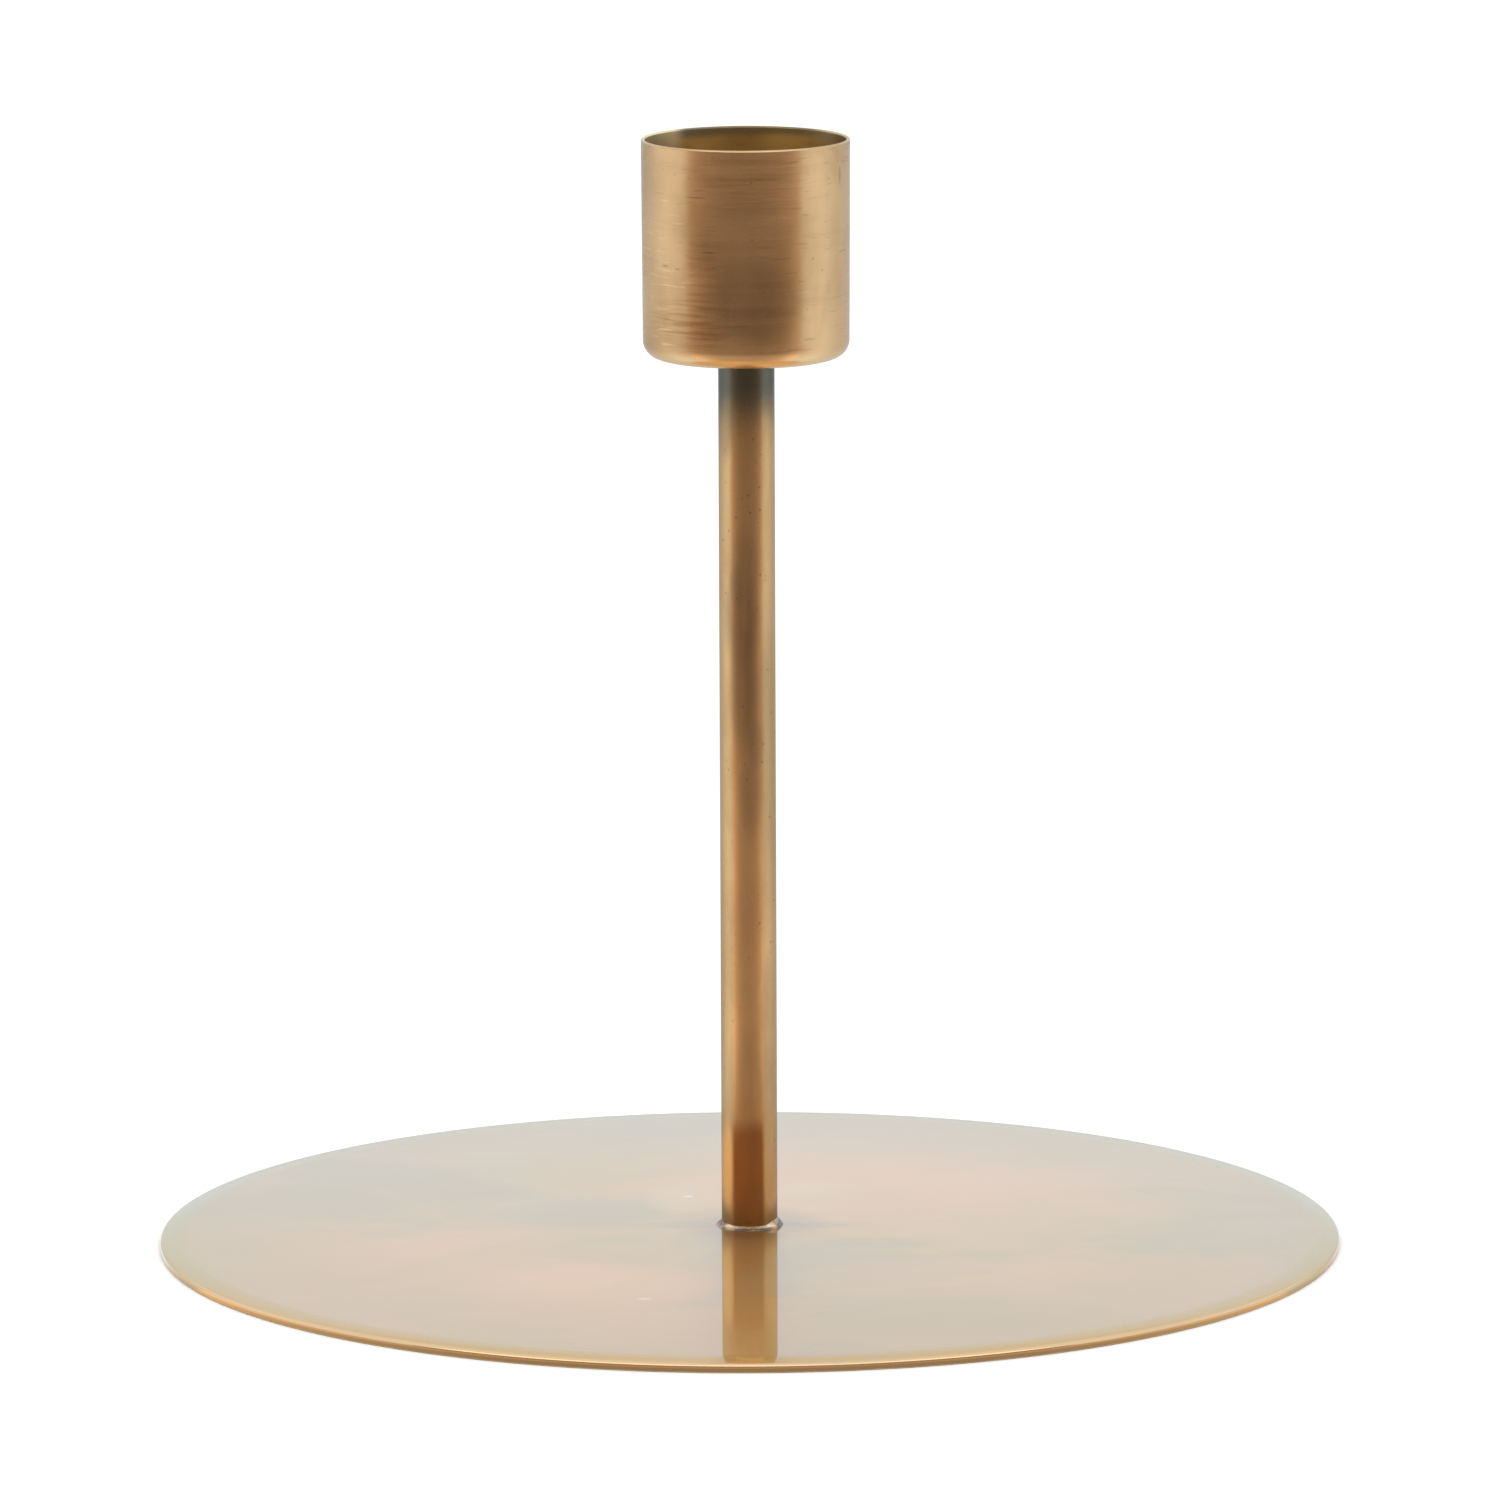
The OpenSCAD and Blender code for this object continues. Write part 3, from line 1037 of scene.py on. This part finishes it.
RADIANCE = "radiance"


def card(name, points, faces, material, camera=False):
    """A flat studio card. Unless the camera sees it, it only shows in reflections."""
    mesh = bpy.data.meshes.new(name)
    mesh.from_pydata(points, [], faces)
    mesh.materials.append(material)
    made = placed(name, mesh)
    made.visible_camera = camera
    made.visible_diffuse = camera
    made.visible_shadow = camera
    made.visible_transmission = camera
    made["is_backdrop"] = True
    return made


def glow(name):
    """A material whose light follows the card's own radiance."""
    made = bpy.data.materials.new(name)
    made.use_nodes = True
    tree = made.node_tree
    tree.nodes.clear()
    light = tree.nodes.new("ShaderNodeEmission")
    out = tree.nodes.new("ShaderNodeOutputMaterial")
    tree.links.new(light.outputs[0], out.inputs["Surface"])
    source = tree.nodes.new("ShaderNodeAttribute")
    source.attribute_name = RADIANCE
    tree.links.new(source.outputs["Color"], light.inputs["Color"])
    return made


def graded(name, rows, columns, place, radiance):
    """A studio card in a grid whose brightness changes smoothly from point to point."""
    points = [place(row, column) for row in rows for column in columns]
    wide = len(columns)
    faces = [(i * wide + k, i * wide + k + 1, (i + 1) * wide + k + 1, (i + 1) * wide + k)
             for i in range(len(rows) - 1) for k in range(wide - 1)]
    made = card(name, points, faces, glow(name))
    layer = made.data.color_attributes.new(RADIANCE, "FLOAT_COLOR", "POINT")
    for i, row in enumerate(rows):
        for k, column in enumerate(columns):
            layer.data[i * wide + k].color = (*radiance(row, column), 1)
    return made


def along(table, at):
    """Reads a table of (place, value) by straight lines between its rows."""
    if at <= table[0][0]:
        return table[0][1]
    for (x0, y0), (x1, y1) in zip(table, table[1:]):
        if at <= x1:
            return y0 + (y1 - y0) * (at - x0) / (x1 - x0)
    return table[-1][1]


# Brightness of the floor in front, by distance from the stem
APRON = ((0.0672, 0.52), (0.074, 0.50), (0.09, 0.53), (0.14, 0.59), (0.20, 0.55), (0.26, 0.46),
         (0.30, 0.39), (0.35, 0.34), (0.46, 0.33), (0.56, 0.33), (0.70, 0.30), (0.80, 0.26),
         (3.0, 0.26))
# Brightness of the floor at the sides and behind, by angle from the front
LEFT_SIDE = ((68, 0.98), (78, 1.12), (92, 1.16), (106, 1.05), (122, 0.88), (144, 0.78), (180, 0.78))
RIGHT_SIDE = ((64, 0.90), (75, 1.02), (92, 1.02), (106, 0.92), (122, 0.78), (144, 0.78), (180, 0.78))
# Tint of the floor in front
APRON_TINT = (1.0, 0.76, 0.58)
# How much the apron, the floor in front, brightens towards its sides, and where it ends, in degrees
APRON_SIDES = (0.5, 1.1)
LEFT_EDGE, RIGHT_EDGE = -68, 64
# Degrees between the floor's points, and from an edge of the apron to the next point
FLOOR_TURN = 6
EDGE_STEP = 1
# The floor's half width, roughness and shine, and how high the glow lies over it
FLOOR_HALF = 8.0
FLOOR_ROUGH, FLOOR_SHINE = 0.9, 0.1
GLOW_GAP = 0.05 * MM
# The walls' distance from the stem, and their rows and columns in degrees
WALL_REACH = 2.9
FRONT_ROWS = (0, 8, 13, 18, 30, 46)
BACK_ROWS = (0, 8, 16, 24)
BACK_COLUMNS = range(100, 261, 10)
# The camera's sensor width in millimetres, and the nearest and farthest it sees in metres
SENSOR = 36
CLIP = (0.05, 50)
# Red, green and blue of the walls in front and behind, by height in degrees
FRONT_WALL = (((0, 0.32), (13, 0.32), (18, 1.6)), ((0, 0.15), (13, 0.15), (18, 1.56)),
              ((0, 0.12), (13, 0.12), (18, 1.52)))
BACK_WALL = (((0, 0.80), (8, 0.98), (24, 1.02)), ((0, 0.86), (8, 1.21), (24, 1.10)),
             ((0, 0.88), (8, 1.41), (24, 1.20)))


def floor_radiance(distance, angle):
    """Brightness of the floor as the brass sees it, angle in degrees from the front."""
    if LEFT_EDGE < angle < RIGHT_EDGE:
        out = (angle / RIGHT_EDGE) ** 2
        gentle, steep = APRON_SIDES
        strength = along(APRON, distance) * (1 + gentle * out + steep * out * out)
        return [strength * t for t in APRON_TINT]
    return [along(LEFT_SIDE if angle < 0 else RIGHT_SIDE, abs(angle))] * 3


class HOLDER_OT_studio(bpy.types.Operator):
    """Sets the pale floor, the soft light and the camera"""
    bl_idname = "holder.studio"
    bl_label = "Studio"

    def execute(self, context):
        scene, sizes = context.scene, context.scene.holder_studio
        low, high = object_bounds()
        floor_mat = bpy.data.materials.new("floor")
        floor_mat.use_nodes = True
        shader = floor_mat.node_tree.nodes["Principled BSDF"]
        shader.inputs["Base Color"].default_value = (*sizes.floor_grey, 1)
        shader.inputs["Roughness"].default_value = FLOOR_ROUGH
        shader.inputs["Specular IOR Level"].default_value = FLOOR_SHINE
        sides = ((-1, -1), (1, -1), (1, 1), (-1, 1))
        square = [(x * FLOOR_HALF, y * FLOOR_HALF, low.z) for x, y in sides]
        card("floor", square, [(0, 1, 2, 3)], floor_mat, camera=True)

        floor_z = low.z + GLOW_GAP
        rings = [at for at, _ in APRON]
        edges = {edge + side for edge in (LEFT_EDGE, RIGHT_EDGE) for side in (-EDGE_STEP, EDGE_STEP)}
        turns = sorted({*range(-180, 181, FLOOR_TURN)} | edges)

        def on_floor(distance, angle):
            a = math.radians(angle)
            return distance * math.sin(a), -distance * math.cos(a), floor_z

        graded("floor_glow", rings, turns, on_floor, floor_radiance)

        def on_wall(height, angle):
            a, up = math.radians(angle), math.tan(math.radians(height))
            return WALL_REACH * math.sin(a), -WALL_REACH * math.cos(a), WALL_REACH * up

        front = [a for a in turns if LEFT_EDGE < a < RIGHT_EDGE]
        graded("front_wall", FRONT_ROWS, front, on_wall,
               lambda height, angle: [along(t, height) for t in FRONT_WALL])
        graded("back_wall", BACK_ROWS, BACK_COLUMNS, on_wall,
               lambda height, angle: [along(t, height) for t in BACK_WALL])

        world = bpy.data.worlds.new("studio")
        scene.world = world
        world.use_nodes = True
        sky = world.node_tree.nodes["Background"]
        sky.inputs["Color"].default_value = (1, 1, 1, 1)
        sky.inputs["Strength"].default_value = 1.0
        lamp = bpy.data.lights.new("overhead", "AREA")
        lamp.shape = "RECTANGLE"
        lamp.size, lamp.size_y = sizes.lamp_w, sizes.lamp_d
        lamp.energy = sizes.lamp_power
        overhead = placed("overhead", lamp)
        overhead.location = (0, 0, sizes.lamp_z)
        overhead.visible_camera = False
        overhead.visible_glossy = False

        lens = bpy.data.cameras.new("camera")
        lens.lens = sizes.lens
        lens.sensor_width = SENSOR
        lens.clip_start, lens.clip_end = CLIP
        camera = placed("camera", lens)
        aim = Vector((sizes.pan, 0, low.z + (high.z - low.z) * sizes.aim))
        back = Vector((0, -math.cos(sizes.elevation), math.sin(sizes.elevation)))
        camera.location = aim + back * sizes.distance
        camera.rotation_mode = "QUATERNION"
        level = (-back).to_track_quat("-Z", "Y")
        camera.rotation_quaternion = level @ Quaternion((0, 0, 1), -sizes.roll)
        scene.camera = camera
        scene.view_settings.view_transform = "Standard"
        scene.view_settings.look = "None"
        return {"FINISHED"}


class HOLDER_PT_panel(bpy.types.Panel):
    """Lists the holder's operators"""
    bl_idname = "HOLDER_PT_panel"
    bl_label = "Candle holder"
    bl_space_type = "VIEW_3D"
    bl_region_type = "UI"
    bl_category = "Holder"

    def draw(self, context):
        for operator in OPERATORS:
            self.layout.operator(operator.bl_idname)
        for name, group in GROUPS.items():
            box = self.layout.box()
            box.label(text=group.__doc__)
            for key in group.__annotations__:
                box.prop(getattr(context.scene, name), key)


OPERATORS = (HOLDER_OT_disc, HOLDER_OT_stem, HOLDER_OT_cup, HOLDER_OT_braze, HOLDER_OT_studio)
CLASSES = (*GROUPS.values(), *OPERATORS, HOLDER_PT_panel)


def register():
    for cls in CLASSES:
        bpy.utils.register_class(cls)
    for name, group in GROUPS.items():
        setattr(bpy.types.Scene, name, bpy.props.PointerProperty(type=group))


def unregister():
    for name in GROUPS:
        delattr(bpy.types.Scene, name)
    for cls in reversed(CLASSES):
        bpy.utils.unregister_class(cls)


def main():
    register()
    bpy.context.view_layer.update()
    bpy.ops.holder.disc()
    bpy.ops.holder.stem()
    bpy.ops.holder.cup()
    bpy.ops.holder.braze()
    bpy.ops.holder.studio()


if __name__ == "__main__":
    main()
